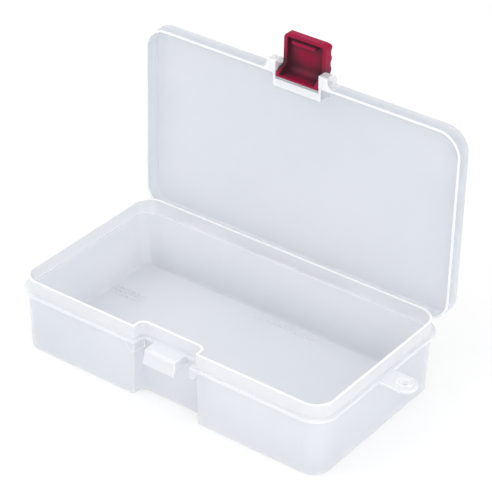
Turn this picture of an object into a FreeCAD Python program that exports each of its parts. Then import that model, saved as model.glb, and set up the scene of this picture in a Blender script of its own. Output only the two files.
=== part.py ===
import FreeCAD, Part
import math
import os

# Flat one-compartment tackle box: a tray, a hinged lid, a hinge pin and a snap latch.
# Millimetres. Z is up, X runs along the length, and the latch is on the -Y side.
# The origin is the middle of the flat underside.

# ---- overall sizes ----
rim_length = 158.0
rim_width = 86.7
rim_height = 35.6
corner_radius = 9.0

# ---- clearances ----
body_gap = 0.3
lid_side_gap = 0.85
running_clearance = 0.05

# ---- tray shell ----
floor_thickness = 1.4
wall_thickness = 1.4
rim_thickness = 1.0
draft_inset = 0.9
base_round = 0.8
floor_round = 1.5
flange_overhang = 1.95
flange_thickness = 1.0
flange_top = 29.1
lip_round = 0.3

# ---- recess in the front wall, where the latch works ----
recess_half_width = 16.1
recess_depth = 5.9
recess_lip_radius = 0.9
recess_root_radius = 3.0
recess_flat_least = 0.2
skirt_depth = 3.8
skirt_thickness = 1.0
skirt_reach = 0.6
skirt_ramp = 2.6

# ---- catch that the latch hooks under ----
catch_half_width = 7.9
catch_thickness = 1.1
catch_face_proud = 2.9
catch_tip_proud = 4.4
catch_tip_level = 22.4
catch_flare_level = 25.8
catch_top_round = 1.6
catch_flare_round = 2.0
catch_tip_round = 0.4
gusset_thickness = 1.0

# ---- loop for a cord on the right-hand end ----
lug_half_width = 5.5
lug_reach = 16.5
lug_hole_radius = 1.9
lug_ring_radius = 3.35
lug_ring_height = 0.8

# ---- lid ----
lid_top_thickness = 1.2
lid_edge_round = 1.2
lid_recess_root = 1.2
lid_ceiling_round = 0.9
lid_rim_gap = 0.3

# ---- hinge ----
knuckle_count = 5
knuckle_pitch = 13.0
knuckle_gap = 0.4
knuckle_radius = 1.7
hinge_pin_radius = 0.75
hinge_pin_end_gap = 0.2
stop_offset = 60.0
stop_width = 9.0
stop_reach = 4.4
stop_depth = 3.0
stop_lip = 1.0
stop_corner = 0.4
pin_chamfer = 0.15

# ---- ears on the lid, and the latch between them ----
pivot_proud = 2.3
pivot_level = 34.1
ear_radius = 3.6
ear_nose_proud = 3.1
ear_nose_level = 33.3
ear_inner = 11.1
ear_outer = 15.4
ear_flare = 3.0
stub_radius = 1.1
stub_length = 3.3
stub_end_gap = 0.2
latch_half_width = 10.7
latch_wall = 1.3
latch_border = 1.7
latch_tip_corner = 0.8
latch_soft_corner = 1.0
latch_small_corner = 0.5
latch_lip_corner = 0.3
hollow_tip_corner = 0.6
plate_length = 16.1
plate_outer = 4.5
plate_border_level = 0.7
plate_tip_radius = 2.6
leg_reach = 3.0
leg_bottom = 4.7
leg_corner_radius = 4.0
leg_toe = 0.8
hub_cover = 0.5
hub_ramp = 1.1
hook_distance = 12.2
hook_thickness = 1.2
hook_tip_level = -0.6
hook_half_width = 5.8
hook_draft = 0.8
hook_tip_corner = 0.4
web_thickness = 0.8
web_reach = 2.5
web_overlap = 0.5
grip_count = 3
grip_pitch = 5.1
grip_first = 3.7
grip_radius = 2.2
grip_height = 0.8
grip_end_inset = 0.1

# ---- how far a joined piece sinks into its neighbour, and a cutter passes through ----
sink = 0.5
through = 1.0

# ---- how far the lid stands open ----
lid_open_angle = 90.0

# ---- positions that follow from the sizes above ----
front_face = -rim_width / 2
back_face = rim_width / 2
recess_back = front_face + recess_depth
flange_bottom = flange_top - flange_thickness
lid_bottom = flange_top + body_gap
lid_inner_top = rim_height + lid_rim_gap
lid_top = lid_inner_top + lid_top_thickness
hinge_y = back_face + flange_overhang + running_clearance
hinge_z = flange_top + 0.1
barrel_length = knuckle_count * knuckle_pitch
pivot_y = front_face - pivot_proud
pivot_z = pivot_level
notch_radius = knuckle_radius + body_gap

X_AXIS = FreeCAD.Vector(1, 0, 0)
Y_AXIS = FreeCAD.Vector(0, 1, 0)
Z_AXIS = FreeCAD.Vector(0, 0, 1)


def flat(level):
    """Places a sketch point (u, v) at X = u, Y = v on the given level."""
    return lambda u, v: FreeCAD.Vector(u, v, level)


def upright(x):
    """Places a sketch point (u, v) at Y = u, Z = v in the plane across the length at x."""
    return lambda u, v: FreeCAD.Vector(x, u, v)


def facing_front(u, v):
    """Places a sketch point (u, v) at X = u, Z = v in the plane along the length at the origin."""
    return FreeCAD.Vector(u, 0, v)


def rounded_face(corners, place):
    """A flat face from (u, v, radius) corners, each one rounded by its own radius."""
    edges = []
    starts = []
    ends = []
    arcs = []
    for i, (u, v, radius) in enumerate(corners):
        here = FreeCAD.Vector(u, v, 0)
        before = FreeCAD.Vector(*corners[i - 1][:2], 0)
        after = FreeCAD.Vector(*corners[(i + 1) % len(corners)][:2], 0)
        to_before = (before - here).normalize()
        to_after = (after - here).normalize()
        half_angle = to_before.getAngle(to_after) / 2
        reach = radius / math.tan(half_angle)
        middle = (to_before + to_after).normalize()
        centre_distance = radius / math.sin(half_angle)
        starts.append(here + to_before * reach)
        ends.append(here + to_after * reach)
        arcs.append(here + middle * (centre_distance - radius) if radius > 0 else None)
    for i in range(len(corners)):
        start = place(starts[i].x, starts[i].y)
        end = place(ends[i].x, ends[i].y)
        if arcs[i] is not None:
            edges.append(Part.Arc(start, place(arcs[i].x, arcs[i].y), end).toShape())
        following = starts[(i + 1) % len(corners)]
        next_start = place(following.x, following.y)
        if end.distanceToPoint(next_start) > 1e-6:
            edges.append(Part.makeLine(end, next_start))
    return Part.Face(Part.Wire(edges))


def outline(inset, level, recess_half=recess_half_width, recess_root=recess_root_radius):
    """Plan outline of the box with the latch recess, moved inwards by inset."""
    half_x = rim_length / 2 - inset
    half_y = rim_width / 2 - inset
    corner = corner_radius - inset
    recess = recess_half + inset
    bottom_of_recess = recess_back + inset
    lip = recess_lip_radius + max(inset - draft_inset, 0)
    root = min(recess_root + inset, recess_depth - lip - recess_flat_least)
    corners = [
        (-half_x, -half_y, corner),
        (-recess, -half_y, lip),
        (-recess, bottom_of_recess, root),
        (recess, bottom_of_recess, root),
        (recess, -half_y, lip),
        (half_x, -half_y, corner),
        (half_x, half_y, corner),
        (-half_x, half_y, corner),
    ]
    return rounded_face(corners, flat(level))


def prism(inset, bottom, top, recess_half=recess_half_width, recess_root=recess_root_radius):
    """Straight-sided block of the plan outline."""
    plan = outline(inset, bottom, recess_half, recess_root)
    return plan.extrude(Z_AXIS * (top - bottom))


def drafted(inset_bottom, inset_top, bottom, top):
    """Block whose sides lean out by the draft between two levels."""
    lower = outline(inset_bottom, bottom).OuterWire
    upper = outline(inset_top, top).OuterWire
    return Part.makeLoft([lower, upper], True, True)


def box(x0, x1, y0, y1, z0, z1):
    """Block between two corners."""
    return Part.makeBox(x1 - x0, y1 - y0, z1 - z0, FreeCAD.Vector(x0, y0, z0))


def rod(x0, x1, y, z, radius):
    """Round bar along X."""
    return Part.makeCylinder(radius, x1 - x0, FreeCAD.Vector(x0, y, z), X_AXIS)


def edges_at(shape, level):
    """Edges that lie flat on one level."""
    found = []
    for edge in shape.Edges:
        bounds = edge.BoundBox
        if abs(bounds.ZMin - level) < 0.01 and abs(bounds.ZMax - level) < 0.01:
            found.append(edge)
    return found


def knuckle_span(index):
    """Start and end in X of one knuckle of the hinge barrel."""
    start = -barrel_length / 2 + index * knuckle_pitch
    return start + knuckle_gap / 2, start + knuckle_pitch - knuckle_gap / 2


def barrel(indexes, bore_radius):
    """Knuckles of one side of the hinge, without their bore, and the bore itself."""
    knuckles = []
    for index in indexes:
        x0, x1 = knuckle_span(index)
        knuckles.append(rod(x0, x1, hinge_y, hinge_z, knuckle_radius))
    bore = rod(-barrel_length / 2, barrel_length / 2, hinge_y, hinge_z, bore_radius)
    return knuckles, bore


def knuckle_notches(indexes):
    """Room for the other side's knuckles, with the gap all round."""
    notches = []
    for index in indexes:
        x0, x1 = knuckle_span(index)
        notches.append(rod(x0 - knuckle_gap, x1 + knuckle_gap, hinge_y, hinge_z, notch_radius))
    return notches


tray_knuckles = range(0, knuckle_count, 2)
lid_knuckles = range(1, knuckle_count, 2)


def tray_shell():
    """Drafted tub with a thinner upright rim, so that a small ledge runs round inside."""
    lower = drafted(draft_inset, 0, 0, flange_bottom)
    lower = lower.makeFillet(base_round, edges_at(lower, 0))
    rim = prism(0, flange_bottom, rim_height)
    ledge_level = flange_top - flange_thickness / 2
    tub = drafted(draft_inset + wall_thickness, wall_thickness, floor_thickness, ledge_level)
    tub = tub.makeFillet(floor_round, edges_at(tub, floor_thickness))
    mouth = prism(rim_thickness, ledge_level, rim_height)
    flange = prism(-flange_overhang, flange_bottom, flange_top)
    flange = flange.makeFillet(lip_round, edges_at(flange, flange_top))
    shell = lower.fuse([rim, flange]).cut(tub).cut(mouth)
    return shell.makeFillet(lip_round, edges_at(shell, rim_height))


def recess_skirt():
    """Deeper edge of the flange where it turns into the latch recess, with a ramp at each end."""
    bottom = flange_bottom - skirt_depth
    outer = prism(-flange_overhang, bottom, flange_bottom)
    inner = prism(skirt_thickness - flange_overhang, bottom, flange_bottom)
    reach = recess_half_width + skirt_reach
    corners = [
        (-reach - skirt_ramp, flange_bottom, 0),
        (-reach, bottom, skirt_ramp / 2),
        (reach, bottom, skirt_ramp / 2),
        (reach + skirt_ramp, flange_bottom, 0),
    ]
    window = rounded_face(corners, facing_front).extrude(Y_AXIS * (recess_back - front_face + through))
    window.translate(Y_AXIS * (front_face - flange_overhang - through))
    return outer.cut(inner).common(window)


def catch():
    """Hooked lip with a gusset at each end."""
    face = front_face - catch_face_proud
    tip = front_face - catch_tip_proud
    lip = [
        (recess_back + wall_thickness / 2, flange_top, 0),
        (face, flange_top, catch_top_round),
        (face, catch_flare_level, catch_flare_round),
        (tip, catch_tip_level, catch_tip_round),
        (tip + catch_thickness, catch_tip_level, catch_tip_round),
        (face + catch_thickness, catch_flare_level, catch_flare_round),
        (face + catch_thickness, flange_top - catch_thickness, catch_top_round - catch_thickness),
        (recess_back + wall_thickness / 2, flange_top - catch_thickness, 0),
    ]
    hook = rounded_face(lip, upright(-catch_half_width)).extrude(X_AXIS * catch_half_width * 2)
    web = [
        (recess_back + wall_thickness / 2, flange_top - catch_thickness / 2, 0),
        (face + catch_thickness / 2, flange_top - catch_thickness / 2, 0),
        (face + catch_thickness / 2, catch_flare_level, 0),
        (recess_back + wall_thickness / 2, flange_bottom - skirt_depth, 0),
    ]
    pieces = []
    for x in (-catch_half_width, catch_half_width - gusset_thickness):
        pieces.append(rounded_face(web, upright(x)).extrude(X_AXIS * gusset_thickness))
    return hook.fuse(pieces)


def cord_lug():
    """Rounded tab with a raised ring round its hole; returns the tab and the hole."""
    root = rim_length / 2 - wall_thickness / 2
    tip = rim_length / 2 + lug_reach
    corners = [
        (root, -lug_half_width, 0),
        (tip, -lug_half_width, lug_half_width - 0.01),
        (tip, lug_half_width, lug_half_width - 0.01),
        (root, lug_half_width, 0),
    ]
    tab = rounded_face(corners, flat(flange_bottom)).extrude(Z_AXIS * flange_thickness)
    centre = FreeCAD.Vector(tip - lug_half_width, 0, flange_bottom - through)
    ring_base = FreeCAD.Vector(centre.x, 0, flange_bottom)
    ring = Part.makeCylinder(lug_ring_radius, flange_thickness + lug_ring_height, ring_base)
    hole = Part.makeCylinder(lug_hole_radius, flange_thickness + lug_ring_height + 2 * through, centre)
    return tab.fuse(ring), hole


def lid_stops():
    """Two heels behind the flange, on which the back of the open lid comes to rest."""
    top = hinge_z - body_gap
    root = back_face - wall_thickness / 2
    heels = []
    for side in (-1, 1):
        profile = [
            (root, top, 0),
            (back_face + stop_reach, top, stop_corner),
            (back_face + stop_reach, top - stop_lip, stop_corner),
            (back_face, top - stop_depth, 0),
            (root, top - stop_depth, 0),
        ]
        x = side * stop_offset - stop_width / 2
        heels.append(rounded_face(profile, upright(x)).extrude(X_AXIS * stop_width))
    return heels


def make_tray():
    lug, lug_hole = cord_lug()
    knuckles, bore = barrel(tray_knuckles, hinge_pin_radius)
    shell = tray_shell()
    shell = shell.fuse([recess_skirt(), catch(), lug] + lid_stops())
    shell = shell.cut(knuckle_notches(lid_knuckles))
    return shell.fuse(knuckles).cut(bore).cut(lug_hole).removeSplitter()


def lid_shell():
    """Shallow cap over the rim, with a narrower recess in front for the latch."""
    recess_half = ear_inner + flange_overhang
    root = lid_recess_root + flange_overhang
    cap = prism(-flange_overhang, lid_bottom, lid_top, recess_half, root)
    cap = cap.makeFillet(lid_edge_round, edges_at(cap, lid_top))
    hollow = prism(-lid_side_gap, lid_bottom, lid_inner_top, recess_half, lid_recess_root)
    hollow = hollow.makeFillet(lid_ceiling_round, edges_at(hollow, lid_inner_top))
    cap = cap.cut(hollow)
    return cap.makeFillet(lip_round, edges_at(cap, lid_bottom))


def ear(side):
    """Round-nosed ear that carries one stub of the latch, flared into the lid's front wall."""
    x0, x1 = sorted((side * ear_inner, side * ear_outer))
    wall = front_face - lid_side_gap
    front = front_face - flange_overhang
    nose_y = front_face - ear_nose_proud
    nose = rod(x0, x1, nose_y, ear_nose_level, ear_radius)
    neck = box(x0, x1, nose_y - ear_radius, wall, lid_bottom, ear_nose_level)
    cheek = box(x0, x1, nose_y, wall, lid_bottom, ear_nose_level + ear_radius)
    outer = side * ear_outer
    far = side * (ear_outer + ear_flare + 0.2)
    flare = [
        (outer - side, wall, 0),
        (far, wall, 0),
        (far, front, 0),
        (outer, front, ear_flare),
        (outer, front - ear_flare - 0.2, 0),
        (outer - side, front - ear_flare - 0.2, 0),
    ]
    fillet = rounded_face(flare, flat(lid_bottom)).extrude(Z_AXIS * (ear_nose_level - lid_bottom))
    return nose.fuse([neck, cheek, fillet])


def rest_web():
    """Low web between the ears that stiffens the lid's edge behind the latch."""
    back = recess_back - flange_overhang
    half = ear_inner + web_overlap
    return box(-half, half, back - web_reach, back + web_overlap,
               lid_bottom, lid_bottom + web_thickness)


def make_lid():
    knuckles, bore = barrel(lid_knuckles, hinge_pin_radius + running_clearance)
    shell = lid_shell().fuse([ear(-1), ear(1), rest_web()])
    shell = shell.cut(knuckle_notches(tray_knuckles)).fuse(knuckles).cut(bore)
    socket_reach = latch_half_width + stub_length + stub_end_gap
    socket = rod(-socket_reach, socket_reach, pivot_y, pivot_z, stub_radius + running_clearance)
    return shell.cut(socket).removeSplitter()


def latch_side():
    """Side outline of the latch: a plate that points out from the lid, and a short leg."""
    toe = leg_reach - latch_wall - leg_toe
    hub = pivot_y - stub_radius
    return [
        (pivot_y - plate_length, pivot_z + plate_outer, latch_tip_corner),
        (pivot_y + leg_reach, pivot_z + plate_outer, leg_corner_radius),
        (pivot_y + leg_reach, pivot_z - leg_bottom, latch_soft_corner),
        (pivot_y + toe, pivot_z - leg_bottom, latch_small_corner),
        (pivot_y - toe, pivot_z - leg_bottom / 2, latch_soft_corner),
        (hub - hub_cover, pivot_z, latch_soft_corner),
        (hub - hub_ramp, pivot_z + plate_border_level, latch_small_corner),
        (pivot_y - plate_length, pivot_z + plate_border_level, latch_lip_corner),
    ]


def latch_hollow():
    """What is taken out of the inner face between the borders."""
    inner = plate_outer - latch_wall
    half = latch_half_width - latch_border
    side = [
        (pivot_y - plate_length + latch_border, pivot_z + inner, hollow_tip_corner),
        (pivot_y + leg_reach - latch_wall, pivot_z + inner, leg_corner_radius - latch_wall),
        (pivot_y + leg_reach - latch_wall, pivot_z - leg_bottom - through, 0),
        (pivot_y - plate_length + latch_border, pivot_z - leg_bottom - through, 0),
    ]
    return rounded_face(side, upright(-half)).extrude(X_AXIS * half * 2)


def finger_grips():
    """Low ridges across the outer face near the tip."""
    ridges = []
    level = pivot_z + plate_outer + grip_height - grip_radius
    half = latch_half_width - grip_end_inset
    floor = box(-half - through, half + through, pivot_y - plate_length, pivot_y + leg_reach,
                level - grip_radius, pivot_z + plate_outer - latch_wall / 2)
    for index in range(grip_count):
        y = pivot_y - grip_first - index * grip_pitch
        ridges.append(rod(-half, half, y, level, grip_radius).cut(floor))
    return ridges


def latch_body():
    """L-shaped shell with grips, a border round its inner face and rounded tip corners."""
    half = latch_half_width
    body = rounded_face(latch_side(), upright(-half)).extrude(X_AXIS * half * 2)
    tip = pivot_y - plate_length
    root = pivot_y + leg_reach
    bottom = pivot_z - leg_bottom
    top = pivot_z + plate_outer + grip_height
    corners = [
        (-half, tip, plate_tip_radius),
        (half, tip, plate_tip_radius),
        (half, root, 0),
        (-half, root, 0),
    ]
    plan = rounded_face(corners, flat(bottom)).extrude(Z_AXIS * (top - bottom))
    return body.fuse(finger_grips()).common(plan).cut(latch_hollow())


def latch_stubs():
    """Stub on each side that turns in the lid's ear."""
    stubs = []
    for side in (-1, 1):
        x0, x1 = sorted((side * (latch_half_width - sink), side * (latch_half_width + stub_length)))
        stubs.append(rod(x0, x1, pivot_y, pivot_z, stub_radius))
    return stubs


def latch_hook():
    """Rib across the inner face that goes under the catch."""
    near = pivot_y - hook_distance
    far = near - hook_thickness
    root = pivot_z + plate_outer - latch_wall / 2
    corners = [
        (far - hook_draft, root, 0),
        (far, pivot_z + hook_tip_level, hook_tip_corner),
        (near, pivot_z + hook_tip_level, hook_tip_corner),
        (near, root, 0),
    ]
    face = rounded_face(corners, upright(-hook_half_width))
    return face.extrude(X_AXIS * hook_half_width * 2)


def make_latch():
    return latch_body().fuse(latch_stubs() + [latch_hook()]).removeSplitter()


def make_hinge_pin():
    half = barrel_length / 2 - hinge_pin_end_gap
    pin = rod(-half, half, hinge_y, hinge_z, hinge_pin_radius)
    return pin.makeChamfer(pin_chamfer, [e for e in pin.Edges if e.BoundBox.XLength < 0.01])


def stand_open(shape):
    """Swings a part of the closed lid back about the hinge pin to the open rest pose."""
    opened = shape.copy()
    opened.rotate(FreeCAD.Vector(0, hinge_y, hinge_z), X_AXIS, -lid_open_angle)
    return opened


os.makedirs("parts", exist_ok=True)
nodes = {
    "tray": make_tray(),
    "lid": stand_open(make_lid()),
    "latch": stand_open(make_latch()),
    "hinge_pin": make_hinge_pin(),
}
for name, shape in nodes.items():
    if len(shape.Solids) != 1 or not shape.isValid():
        raise RuntimeError(name + " is not one valid solid")
    shape.Solids[0].exportStep("parts/" + name + ".step")
    bounds = shape.BoundBox
    print(name, round(shape.Volume), "mm3", [round(v, 2) for v in (
        bounds.XMin, bounds.XMax, bounds.YMin, bounds.YMax, bounds.ZMin, bounds.ZMax)])
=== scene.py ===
# %% [markdown]
# A flat tackle box in milky plastic, standing open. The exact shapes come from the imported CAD
# model; this file gives them their finishes, adds the small moulded marks, and sets up the
# light and the camera. Lengths are in metres, and one millimetre is the unit most sizes use.

import bpy
from mathutils import Matrix, Vector


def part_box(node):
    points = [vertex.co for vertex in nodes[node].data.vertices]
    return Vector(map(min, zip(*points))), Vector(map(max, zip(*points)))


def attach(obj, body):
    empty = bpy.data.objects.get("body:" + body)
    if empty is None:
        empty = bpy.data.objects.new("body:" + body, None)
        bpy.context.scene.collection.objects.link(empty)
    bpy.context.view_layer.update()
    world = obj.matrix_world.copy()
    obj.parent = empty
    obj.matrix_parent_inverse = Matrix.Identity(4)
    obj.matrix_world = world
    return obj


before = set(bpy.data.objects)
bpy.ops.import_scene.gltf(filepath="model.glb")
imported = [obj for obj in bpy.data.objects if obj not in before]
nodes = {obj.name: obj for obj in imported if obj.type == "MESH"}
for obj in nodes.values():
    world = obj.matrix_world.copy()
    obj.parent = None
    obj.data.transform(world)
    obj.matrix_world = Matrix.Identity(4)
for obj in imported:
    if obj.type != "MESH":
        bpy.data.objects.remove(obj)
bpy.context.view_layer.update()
mm = 0.001

# %% [markdown]
# Every finish below is a Principled surface whose colour, roughness and bump come from a few
# noise patterns on Object coordinates, so the pattern stays put on the piece. A small helper
# class keeps the node code short: it makes a node, sets its inputs and links what is a socket.
# Its along() turns a position on the piece into a soft mask, which says where a tone applies.


# %% A short way to write node trees
class Finish:
    """A material with helpers that add one node at a time."""

    def __init__(self, name):
        self.material = bpy.data.materials.new(name)
        self.material.use_nodes = True
        self.tree = self.material.node_tree
        self.surface = self.tree.nodes["Principled BSDF"]
        self.place = self.add("ShaderNodeTexCoord").outputs["Object"]
        self.split = None

    def add(self, kind, settings=None, **inputs):
        node = self.tree.nodes.new(kind)
        for key, value in (settings or {}).items():
            setattr(node, key, value)
        for key, value in inputs.items():
            self.put(node, key.replace("_", " "), value)
        return node

    def put(self, node, key, value):
        socket = node.inputs[int(key)] if str(key).isdigit() else node.inputs[key]
        if isinstance(value, bpy.types.NodeSocket):
            self.tree.links.new(value, socket)
        else:
            socket.default_value = value

    def stretched(self, scale):
        node = self.add("ShaderNodeMapping", Vector=self.place, Scale=scale)
        return node.outputs["Vector"]

    def noise(self, scale, detail=3.0, where=None):
        where = where or self.place
        node = self.add("ShaderNodeTexNoise", Vector=where, Scale=scale, Detail=detail)
        return node.outputs["Fac"]

    def ramp(self, value, low, high, out_low=0.0, out_high=1.0):
        node = self.add("ShaderNodeMapRange", Value=value)
        node.interpolation_type = "SMOOTHSTEP"
        limits = {"From Min": low, "From Max": high, "To Min": out_low, "To Max": out_high}
        for key, number in limits.items():
            node.inputs[key].default_value = number
        return node.outputs["Result"]

    def position(self, axis):
        if self.split is None:
            self.split = self.add("ShaderNodeSeparateXYZ", Vector=self.place)
        return self.split.outputs[axis]

    def along(self, axis, start, end, out_low=0.0, out_high=1.0):
        """Goes from out_low to out_high while the position on one axis goes from start to end."""
        return self.ramp(self.position(axis), start, end, out_low, out_high)

    def combine(self, operation, first, second):
        node = self.add("ShaderNodeMath", {"operation": operation})
        self.put(node, 0, first)
        self.put(node, 1, second)
        return node.outputs["Value"]

    def product(self, first, *others):
        for other in others:
            first = self.combine("MULTIPLY", first, other)
        return first

    def inverse(self, value):
        return self.combine("SUBTRACT", 1.0, value)

    def blend(self, amount, first, second):
        node = self.add("ShaderNodeMix", {"data_type": "RGBA"})
        self.put(node, 0, amount)
        self.put(node, 6, first)
        self.put(node, 7, second)
        return node.outputs[2]

    def edges(self, radius):
        """Near 1 where the surface turns within the radius, near 0 on flat ground."""
        rounded = self.add("ShaderNodeBevel", {"samples": 6}, Radius=radius)
        flat = self.add("ShaderNodeNewGeometry").outputs["True Normal"]
        node = self.add("ShaderNodeVectorMath", {"operation": "DOT_PRODUCT"})
        self.put(node, 0, rounded.outputs["Normal"])
        self.put(node, 1, flat)
        return self.ramp(node.outputs["Value"], 0.995, 0.80)

    def openness(self, distance, only_this_piece=True, samples=6):
        """Near 1 where nothing stands within the distance, lower in corners."""
        settings = {"samples": samples, "only_local": only_this_piece}
        node = self.add("ShaderNodeAmbientOcclusion", settings, Distance=distance)
        return node.outputs["AO"]

    def bump(self, height, strength, distance):
        node = self.add("ShaderNodeBump", Height=height, Strength=strength, Distance=distance)
        return node.outputs["Normal"]


def rgb(red, green, blue):
    """Colour from screen values of 0 to 255."""
    def to_linear(value):
        value = value / 255
        return value / 12.92 if value <= 0.04045 else ((value + 0.055) / 1.055) ** 2.4
    return (to_linear(red), to_linear(green), to_linear(blue), 1.0)


def halfway(first, second):
    return tuple((one + other) / 2 for one, other in zip(first, second))


print("helpers ready: Finish, rgb and halfway")

# %% [markdown]
# The tray and the lid are natural polypropylene: milky, slightly blue, and see-through enough
# that a line behind the wall shows. Rough glass would give this too, but it is slow, and
# games and viewers show it badly, so the surface is a plain alpha instead. These are its tones
# and how solid it is. The thin edges gather light, so they are nearly white and nearly solid.

# %% Tones of the milky plastic
tray_tone = rgb(227, 230, 236)
tray_haze = rgb(230, 232, 237)
tray_edge_highlight = rgb(246, 247, 249)
lid_tone = rgb(208, 212, 220)
lid_haze = rgb(213, 216, 223)
lid_edge_highlight = rgb(232, 233, 238)
lid_foot_tone = rgb(221, 224, 230)
corner_tone = rgb(146, 153, 174)
dim_tone = rgb(180, 186, 199)
rim_tone = rgb(232, 234, 238)
mark_tone = halfway(tray_haze, lid_foot_tone)
mark_haze = halfway(rim_tone, lid_foot_tone)
shell_alpha = 0.50
rim_extra_alpha = 0.12
under_alpha = 0.12
edge_alpha = 0.94
print("shell tones set; alpha", shell_alpha, "on the walls and", edge_alpha, "on the edges")

# %% [markdown]
# Where light gathers or fades depends on the place on the box, so the zones below read the
# position on the piece. On the tray, the rim and the catch are a double thickness and lighter.
# Less light reaches the inside corners, the crease round the floor and the foot of the rear
# wall. The underside is fainter, so that the two faces of the floor panel don't add up to a
# solid white. The shares are given; they stand in for light that a plain alpha can't
# carry. A painted map could hold the same tones, but masks need no picture file.

# %% Zones of the tray
flange_under = 28.1 * mm
rim_top = 35.6 * mm
catch_half = 7.9 * mm
catch_foot = 22.0 * mm
recess_wall = -37.6 * mm
rear_wall = 39.5 * mm
far_reach = 18.0 * mm
dim_share = 0.28
rear_foot_fade = (24.0 * mm, 3.0 * mm)
rear_foot_share = 0.27
crease_fade = (4.0 * mm, 2.0 * mm)
crease_share = 0.45
no_edge_from = (0.9 * mm, 1.1 * mm)
no_edge_to = (4.5 * mm, 3.5 * mm)


def tray_zones(finish, colour, edge, near):
    """Returns the colour, the alpha and the edge mask of the tray with its zones."""
    off_centre = finish.combine("ABSOLUTE", finish.position("X"), 0.0)
    on_catch = finish.product(
        finish.ramp(off_centre, catch_half + 0.2 * mm, catch_half + 0.1 * mm),
        finish.along("Y", recess_wall, recess_wall - 0.4 * mm),
        finish.along("Z", catch_foot - 0.5 * mm, catch_foot))
    on_rim = finish.along("Z", flange_under, flange_under + 0.6 * mm)
    thick = finish.combine("MAXIMUM", on_rim, on_catch)
    colour = finish.blend(thick, colour, rim_tone)

    turned = finish.add("ShaderNodeNewGeometry").outputs["True Normal"]
    facing = finish.add("ShaderNodeSeparateXYZ", Vector=turned).outputs["Z"]
    under = finish.ramp(facing, -0.90, -0.99, 1.0, under_alpha / shell_alpha)
    solid = finish.ramp(thick, 0.0, 1.0, shell_alpha, shell_alpha + rim_extra_alpha)
    solid = finish.product(solid, under)

    crease = finish.along("Z", *crease_fade, 0.0, crease_share)
    crease = finish.product(finish.ramp(near, 0.86, 0.66), crease)
    colour = finish.blend(crease, colour, corner_tone)
    dim = finish.product(
        finish.ramp(finish.openness(far_reach), 0.80, 0.35, 0.0, dim_share),
        finish.along("Z", flange_under, flange_under - 1.0 * mm),
        finish.along("Y", recess_wall + 0.4 * mm, recess_wall + 1.2 * mm))
    rear_foot = finish.product(
        finish.along("Z", *rear_foot_fade),
        finish.along("Y", rear_wall, rear_wall + 1.0 * mm), rear_foot_share)
    colour = finish.blend(finish.combine("ADD", dim, rear_foot), colour, dim_tone)

    in_crease = finish.product(finish.along("Z", *no_edge_from), finish.along("Z", *no_edge_to))
    return colour, solid, finish.product(edge, finish.inverse(in_crease))


print("tray zones: rim from", round(flange_under / mm, 1), "to", round(rim_top / mm, 1), "mm")

# %% [markdown]
# The open lid stands upright, so its Z axis runs from the hinge up to the latch. The ears that
# carry the latch are thick and lighter, and the part near the hinge, where the tray throws
# light back at it, is a little lighter than the rest.

# %% Zones of the lid
lid_lip = 45.55 * mm
ear_end = 18.0 * mm
ear_foot = 118.5 * mm
lid_foot_fade = (105.0 * mm, 40.0 * mm)
lid_foot_share = 0.5


def lid_zones(finish, colour, edge, near):
    """The same for the lid, which has no crease and so doesn't need near."""
    off_centre = finish.combine("ABSOLUTE", finish.position("X"), 0.0)
    on_ears = finish.product(
        finish.ramp(off_centre, ear_end + 1.0 * mm, ear_end),
        finish.along("Z", ear_foot - 1.0 * mm, ear_foot))
    colour = finish.blend(on_ears, colour, rim_tone)
    foot = finish.along("Z", *lid_foot_fade)
    colour = finish.blend(finish.product(foot, lid_foot_share), colour, lid_foot_tone)
    return colour, shell_alpha, edge


print("lid zones: ears above", round(ear_foot / mm, 1), "mm")

# %% [markdown]
# Every milky piece shares the rest: flow haze from the moulding, a painted highlight on the
# edges that a bevel pattern finds and on the lip where two pieces meet, a satin grain, and the
# fine scuffs that tackle leaves. Some light scatters under the surface, which softens the
# shading.

# %% Milky plastic
edge_radius = 0.45 * mm
near_reach = 2.0 * mm
haze_scale = 14.0
grain_scale = 1500.0
satin_roughness = (0.30, 0.40)
scuff_stretch = (40.0, 900.0, 40.0)
scuff_roughness = 0.18
scuff_relief = 0.5
scatter_share = 0.8
scatter_depth = 2.0 * mm
polypropylene_ior = 1.49


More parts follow.
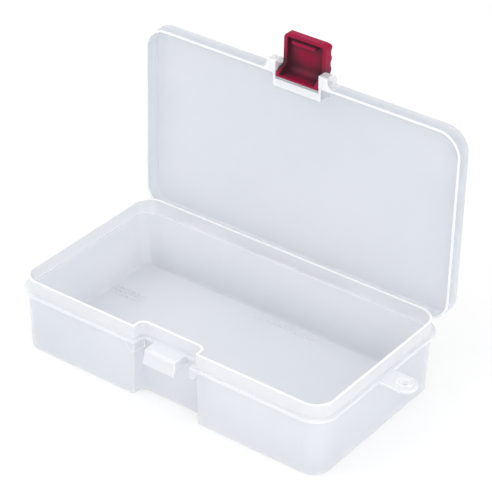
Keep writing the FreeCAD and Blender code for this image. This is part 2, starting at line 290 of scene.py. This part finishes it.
def milky_plastic(name, tone, haze, edge_highlight_tone, zones=None, lip=None):
    finish = Finish(name)
    cloud = finish.ramp(finish.noise(haze_scale, 2.0), 0.35, 0.65)
    colour = finish.blend(cloud, tone, haze)
    solid = shell_alpha
    near = finish.openness(near_reach)
    # Painted highlight: the open edges of the surface get the bright edge tone, which stands in
    # for the light they gather.
    open_edge = finish.inverse(finish.ramp(near, 0.78, 0.55))
    edge = finish.product(finish.edges(edge_radius), open_edge)
    if zones is not None:
        colour, solid, edge = zones(finish, colour, edge, near)
    if lip is not None:
        axis, level, side = lip
        # Painted highlight along the lip: the band at the lip level also gets the bright edge
        # tone.
        lip_highlight = finish.along(axis, level - side * 0.45 * mm, level - side * 0.15 * mm)
        edge = finish.combine("MAXIMUM", edge, lip_highlight)
    finish.put(finish.surface, "Base Color", finish.blend(edge, colour, edge_highlight_tone))

    scuffs = finish.ramp(finish.noise(1.6, 4.0, finish.stretched(scuff_stretch)), 0.68, 0.78)
    grain = finish.noise(grain_scale, 2.0)
    rough = finish.ramp(grain, 0.3, 0.7, *satin_roughness)
    rough = finish.combine("ADD", rough, finish.product(scuffs, scuff_roughness))
    finish.put(finish.surface, "Roughness", rough)
    relief = finish.combine("ADD", grain, finish.product(scuffs, scuff_relief))
    finish.put(finish.surface, "Normal", finish.bump(relief, 0.12, 0.05 * mm))
    finish.surface.inputs["IOR"].default_value = polypropylene_ior
    finish.surface.inputs["Subsurface Weight"].default_value = scatter_share
    finish.surface.inputs["Subsurface Radius"].default_value = (1.0, 1.0, 1.0)
    finish.surface.inputs["Subsurface Scale"].default_value = scatter_depth
    wall = finish.product(finish.inverse(edge), solid)
    alpha = finish.combine("ADD", wall, finish.product(edge, edge_alpha))
    finish.put(finish.surface, "Alpha", alpha)
    return finish.material


tray_plastic = milky_plastic("tray_milky_plastic", tray_tone, tray_haze, tray_edge_highlight,
                             tray_zones, ("Z", rim_top, 1))
lid_plastic = milky_plastic("lid_milky_plastic", lid_tone, lid_haze, lid_edge_highlight,
                            lid_zones, ("Y", lid_lip, -1))
mark_plastic = milky_plastic("mark_milky_plastic", mark_tone, mark_haze, tray_edge_highlight)
print("shell materials", tray_plastic.name, lid_plastic.name, mark_plastic.name)

# %% [markdown]
# The latch is an opaque crimson moulding with a semi-gloss skin. Its hollow face is darker
# than its borders, because little light gets in, so the colour follows how open the surface
# is. Its outer edges catch a little more light. Fine grain keeps the gloss from looking wet.

# %% Crimson plastic
crimson = rgb(150, 16, 56)
crimson_cloud = rgb(158, 20, 64)
crimson_hollow = rgb(84, 44, 54)
crimson_edge = rgb(206, 36, 86)
crimson_edge_share = 0.25
hollow_reach = 9.0 * mm


def crimson_plastic():
    finish = Finish("latch_crimson_plastic")
    cloud = finish.ramp(finish.noise(60.0, 2.0), 0.3, 0.7)
    colour = finish.blend(cloud, crimson, crimson_cloud)
    open_air = finish.ramp(finish.openness(hollow_reach, False, 8), 0.62, 1.0)
    colour = finish.blend(open_air, crimson_hollow, colour)
    lit = finish.product(finish.edges(0.35 * mm), crimson_edge_share)
    finish.put(finish.surface, "Base Color", finish.blend(lit, colour, crimson_edge))
    grain = finish.noise(2200.0, 2.0)
    finish.put(finish.surface, "Roughness", finish.ramp(grain, 0.3, 0.7, 0.40, 0.50))
    finish.put(finish.surface, "Normal", finish.bump(grain, 0.10, 0.04 * mm))
    finish.surface.inputs["IOR"].default_value = 1.5
    finish.surface.inputs["Specular IOR Level"].default_value = 0.12
    return finish.material


latch_plastic = crimson_plastic()
print("latch material", latch_plastic.name)

# %% [markdown]
# The hinge pin is a rod of the same natural plastic. Drawing the rod leaves lines along its
# length, so its noise is stretched along X and feeds both the roughness and a faint bump.

# %% Drawn plastic rod
rod_tone = rgb(232, 235, 240)
rod_line_tone = rgb(242, 244, 247)
rod_line_scale = (60.0, 6000.0, 6000.0)
rod_alpha = 0.7


def drawn_rod():
    finish = Finish("pin_natural_plastic")
    lines = finish.noise(1.0, 3.0, finish.stretched(rod_line_scale))
    finish.put(finish.surface, "Base Color", finish.blend(lines, rod_tone, rod_line_tone))
    finish.put(finish.surface, "Roughness", finish.ramp(lines, 0.3, 0.7, 0.36, 0.48))
    finish.put(finish.surface, "Normal", finish.bump(lines, 0.2, 0.02 * mm))
    finish.surface.inputs["Alpha"].default_value = rod_alpha
    return finish.material


rod_plastic = drawn_rod()
print("pin material", rod_plastic.name)

# %% [markdown]
# Each node of the CAD model gets one finish in place of its plain one. Its mesh isn't touched,
# so the dressed model keeps the exact shape that the CAD gave it.

# %% Dress the CAD nodes
finishes = {"tray": tray_plastic, "lid": lid_plastic,
            "latch": latch_plastic, "hinge_pin": rod_plastic}
for name, material in finishes.items():
    node = nodes[name]
    node.data.materials.clear()
    node.data.materials.append(material)
    print(name, "has", len(node.data.polygons), "triangles")

# %% [markdown]
# The mould leaves two groups of low raised bars on the floor of the tray. Copying one bar by
# hand would do, but Geometry Nodes says the rule once: a grid of points, one round-ended bar
# on each point, a small random change of length from a fixed seed, and then one plain mesh.

# %% Node tree for raised bars
corner_points = 5
bar_top_share = 0.75
shortest_bar = 0.88
weld_distance = 0.001 * mm


def bars_tree():
    tree = bpy.data.node_groups.new("raised_bars", "GeometryNodeTree")
    sockets = tree.interface.new_socket
    sockets(name="Geometry", in_out="OUTPUT", socket_type="NodeSocketGeometry")
    for name in ("Bar length", "Bar width", "Bar height", "Column pitch", "Row pitch"):
        sockets(name=name, in_out="INPUT", socket_type="NodeSocketFloat")
    for name in ("Columns", "Rows", "Seed"):
        sockets(name=name, in_out="INPUT", socket_type="NodeSocketInt")
    sockets(name="Finish", in_out="INPUT", socket_type="NodeSocketMaterial")

    def add(kind, settings=None, **inputs):
        node = tree.nodes.new(kind)
        for key, value in (settings or {}).items():
            setattr(node, key, value)
        for key, value in inputs.items():
            socket = node.inputs[key.replace("_", " ")]
            if isinstance(value, bpy.types.NodeSocket):
                tree.links.new(value, socket)
            else:
                socket.default_value = value
        return node

    def calculate(operation, first, second):
        node = tree.nodes.new("ShaderNodeMath")
        node.operation = operation
        for socket, value in zip(node.inputs, (first, second)):
            if isinstance(value, bpy.types.NodeSocket):
                tree.links.new(value, socket)
            else:
                socket.default_value = value
        return node.outputs[0]

    def span(count, pitch):
        return calculate("MULTIPLY", calculate("SUBTRACT", count, 1.0), pitch)

    size = add("NodeGroupInput").outputs
    wide = span(size["Columns"], size["Column pitch"])
    deep = span(size["Rows"], size["Row pitch"])
    grid = add("GeometryNodeMeshGrid", Size_X=wide, Size_Y=deep,
               Vertices_X=size["Columns"], Vertices_Y=size["Rows"])
    outline = add("GeometryNodeCurvePrimitiveQuadrilateral",
                  Width=size["Bar length"], Height=size["Bar width"])
    rounded = add("GeometryNodeFilletCurve", {"mode": "POLY"}, Curve=outline.outputs["Curve"],
                  Count=corner_points, Radius=size["Bar width"], Limit_Radius=True)
    base = add("GeometryNodeFillCurve", {"mode": "NGONS"}, Curve=rounded.outputs["Curve"])
    raised = add("GeometryNodeExtrudeMesh", Mesh=base.outputs["Mesh"],
                 Offset_Scale=size["Bar height"])
    sloped = add("GeometryNodeScaleElements", Geometry=raised.outputs["Mesh"],
                 Selection=raised.outputs["Top"], Scale=bar_top_share)
    under = add("GeometryNodeFlipFaces", Mesh=base.outputs["Mesh"])
    both = add("GeometryNodeJoinGeometry")
    tree.links.new(sloped.outputs["Geometry"], both.inputs["Geometry"])
    tree.links.new(under.outputs["Mesh"], both.inputs["Geometry"])
    bar = add("GeometryNodeMergeByDistance", Geometry=both.outputs["Geometry"],
              Distance=weld_distance)
    change = add("FunctionNodeRandomValue", {"data_type": "FLOAT"}, Seed=size["Seed"])
    change.inputs[2].default_value = shortest_bar
    change.inputs[3].default_value = 1.0
    scale = add("ShaderNodeCombineXYZ", Y=1.0, Z=1.0)
    tree.links.new(change.outputs[1], scale.inputs["X"])
    copies = add("GeometryNodeInstanceOnPoints", Points=grid.outputs["Mesh"],
                 Instance=bar.outputs["Geometry"], Scale=scale.outputs["Vector"])
    plain = add("GeometryNodeRealizeInstances", Geometry=copies.outputs["Instances"])
    dressed = add("GeometryNodeSetMaterial", Geometry=plain.outputs["Geometry"],
                  Material=size["Finish"])
    add("NodeGroupOutput", Geometry=dressed.outputs["Geometry"])
    return tree


bar_rule = bars_tree()
print("bar rule has", len(bar_rule.nodes), "nodes")

# %% [markdown]
# A modifier runs the rule on an empty mesh. Its inputs are set by their identifiers, the result
# is copied out as a plain mesh, moved to its place, and the helper object is thrown away. The
# bars stand a little below the floor's surface, so no gap shows under them.

# %% Run the rule and place its bars
def make_by_rule(name, tree, values, place):
    helper = bpy.data.objects.new(name + "_helper", bpy.data.meshes.new(name + "_helper"))
    bpy.context.scene.collection.objects.link(helper)
    modifier = helper.modifiers.new("rule", "NODES")
    modifier.node_group = tree
    for item in tree.interface.items_tree:
        if item.in_out == "INPUT" and item.name in values:
            modifier[item.identifier] = values[item.name]
    graph = bpy.context.evaluated_depsgraph_get()
    mesh = bpy.data.meshes.new_from_object(helper.evaluated_get(graph))
    helper.modifiers.clear()
    bpy.data.objects.remove(helper)
    mesh.transform(Matrix.Translation(place))
    piece = bpy.data.objects.new(name, mesh)
    bpy.context.scene.collection.objects.link(piece)
    print(name, "has", len(mesh.polygons), "faces")
    return piece


tray_low, tray_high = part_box("tray")
print("tray is", [round(v / mm, 1) for v in tray_high - tray_low], "mm")
floor_level = 1.4 * mm
bar_sink = 0.05 * mm
bar_base = floor_level - bar_sink
side_bars = {"Bar length": 2.4 * mm, "Bar width": 0.8 * mm, "Bar height": 0.18 * mm,
             "Column pitch": 3.0 * mm, "Row pitch": 2.4 * mm, "Columns": 6, "Rows": 3,
             "Seed": 4, "Finish": mark_plastic}
rear_bars = dict(side_bars, Columns=12, Rows=1, Seed=9)
marks = [
    make_by_rule("floor_bars_side", bar_rule, side_bars,
                 Vector((-66.5 * mm, 14.5 * mm, bar_base))),
    make_by_rule("floor_bars_rear", bar_rule, rear_bars,
                 Vector((5.0 * mm, 36.0 * mm, bar_base))),
]
for piece in marks:
    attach(piece, "tray_body")

# %% [markdown]
# A soft white setting: an even white world lights the box from every side, a lamp above on
# the left gives the form, and a slightly larger one on the right, lower down, lightens the
# shaded side. An even world alone would leave the milky walls without any form.

# %% World and lamps
scene = bpy.context.scene
scene.view_settings.view_transform = "Standard"
world = bpy.data.worlds.new("studio")
scene.world = world
world.use_nodes = True
sky = world.node_tree.nodes["Background"]
sky.inputs["Color"].default_value = (1.0, 1.0, 1.0, 1.0)
sky.inputs["Strength"].default_value = 1.0


def lamp(name, place, aim, size, power):
    light = bpy.data.lights.new(name, "AREA")
    light.size = size
    light.energy = power
    holder = bpy.data.objects.new(name, light)
    holder.location = place
    holder.rotation_euler = (Vector(aim) - Vector(place)).to_track_quat("-Z", "Y").to_euler()
    scene.collection.objects.link(holder)
    print(name, "lamp of", power, "W")


lamp("key", place=(-0.45, -0.35, 0.75), aim=(0, 0, 0.03), size=0.5, power=1.2)
lamp("fill", place=(0.7, -0.45, 0.35), aim=(0, 0, 0.05), size=0.6, power=1.6)

# %% [markdown]
# The floor is white and keeps the shadow of the box. Rays from the camera, and those that come
# off or through a piece, see a share of plain white in it, which keeps it pale while the
# shadow stays visible. The light that it throws back onto the box has no such share.

# %% Floor
floor_half = 1.6
floor_drop = 0.2 * mm
plain_share = 0.35
floor_mesh = bpy.data.meshes.new("floor")
corners = [(-floor_half, -floor_half, 0), (floor_half, -floor_half, 0),
           (floor_half, floor_half, 0), (-floor_half, floor_half, 0)]
floor_mesh.from_pydata(corners, [], [(0, 1, 2, 3)])
floor = bpy.data.objects.new("floor", floor_mesh)
floor.location.z = -floor_drop
scene.collection.objects.link(floor)
white = Finish("floor_white")
white.surface.inputs["Base Color"].default_value = (0.95, 0.95, 0.95, 1.0)
white.surface.inputs["Roughness"].default_value = 1.0
white.surface.inputs["Specular IOR Level"].default_value = 0.0
rays = white.add("ShaderNodeLightPath").outputs
seen = white.combine("MAXIMUM", rays["Is Camera Ray"], rays["Is Glossy Ray"])
seen = white.combine("MAXIMUM", seen, rays["Is Transmission Ray"])
plain_white = white.add("ShaderNodeEmission", Color=(1.0, 1.0, 1.0, 1.0), Strength=1.0)
floor_mix = white.add("ShaderNodeMixShader")
white.put(floor_mix, 0, white.product(seen, plain_share))
white.put(floor_mix, 1, white.surface.outputs["BSDF"])
white.put(floor_mix, 2, plain_white.outputs["Emission"])
floor_output = white.tree.nodes["Material Output"]
white.put(floor_output, "Surface", floor_mix.outputs["Shader"])
floor_mesh.materials.append(white.material)
print("floor", 2 * floor_half, "m across")

# %% [markdown]
# The camera stands in front, to the right and above, as a person at a table would look at the
# box. A long lens keeps the edges nearly parallel.

# %% Camera
camera = bpy.data.objects.new("camera", bpy.data.cameras.new("camera"))
scene.collection.objects.link(camera)
scene.camera = camera
to_right = Vector((0.79821, 0.60217, 0.01563))
to_top = Vector((-0.33148, 0.41744, 0.84609))
to_viewer = Vector((0.50297, -0.68054, 0.53281))
stand = Matrix((to_right, to_top, to_viewer)).transposed().to_4x4()
stand.translation = Vector((0.46210, -0.62517, 0.54732))
camera.matrix_world = stand
camera.data.lens = 158.2
camera.data.sensor_width = 36.0
camera.data.shift_x = 0.035
camera.data.clip_end = 10.0
print("camera at", [round(v, 3) for v in camera.matrix_world.translation])
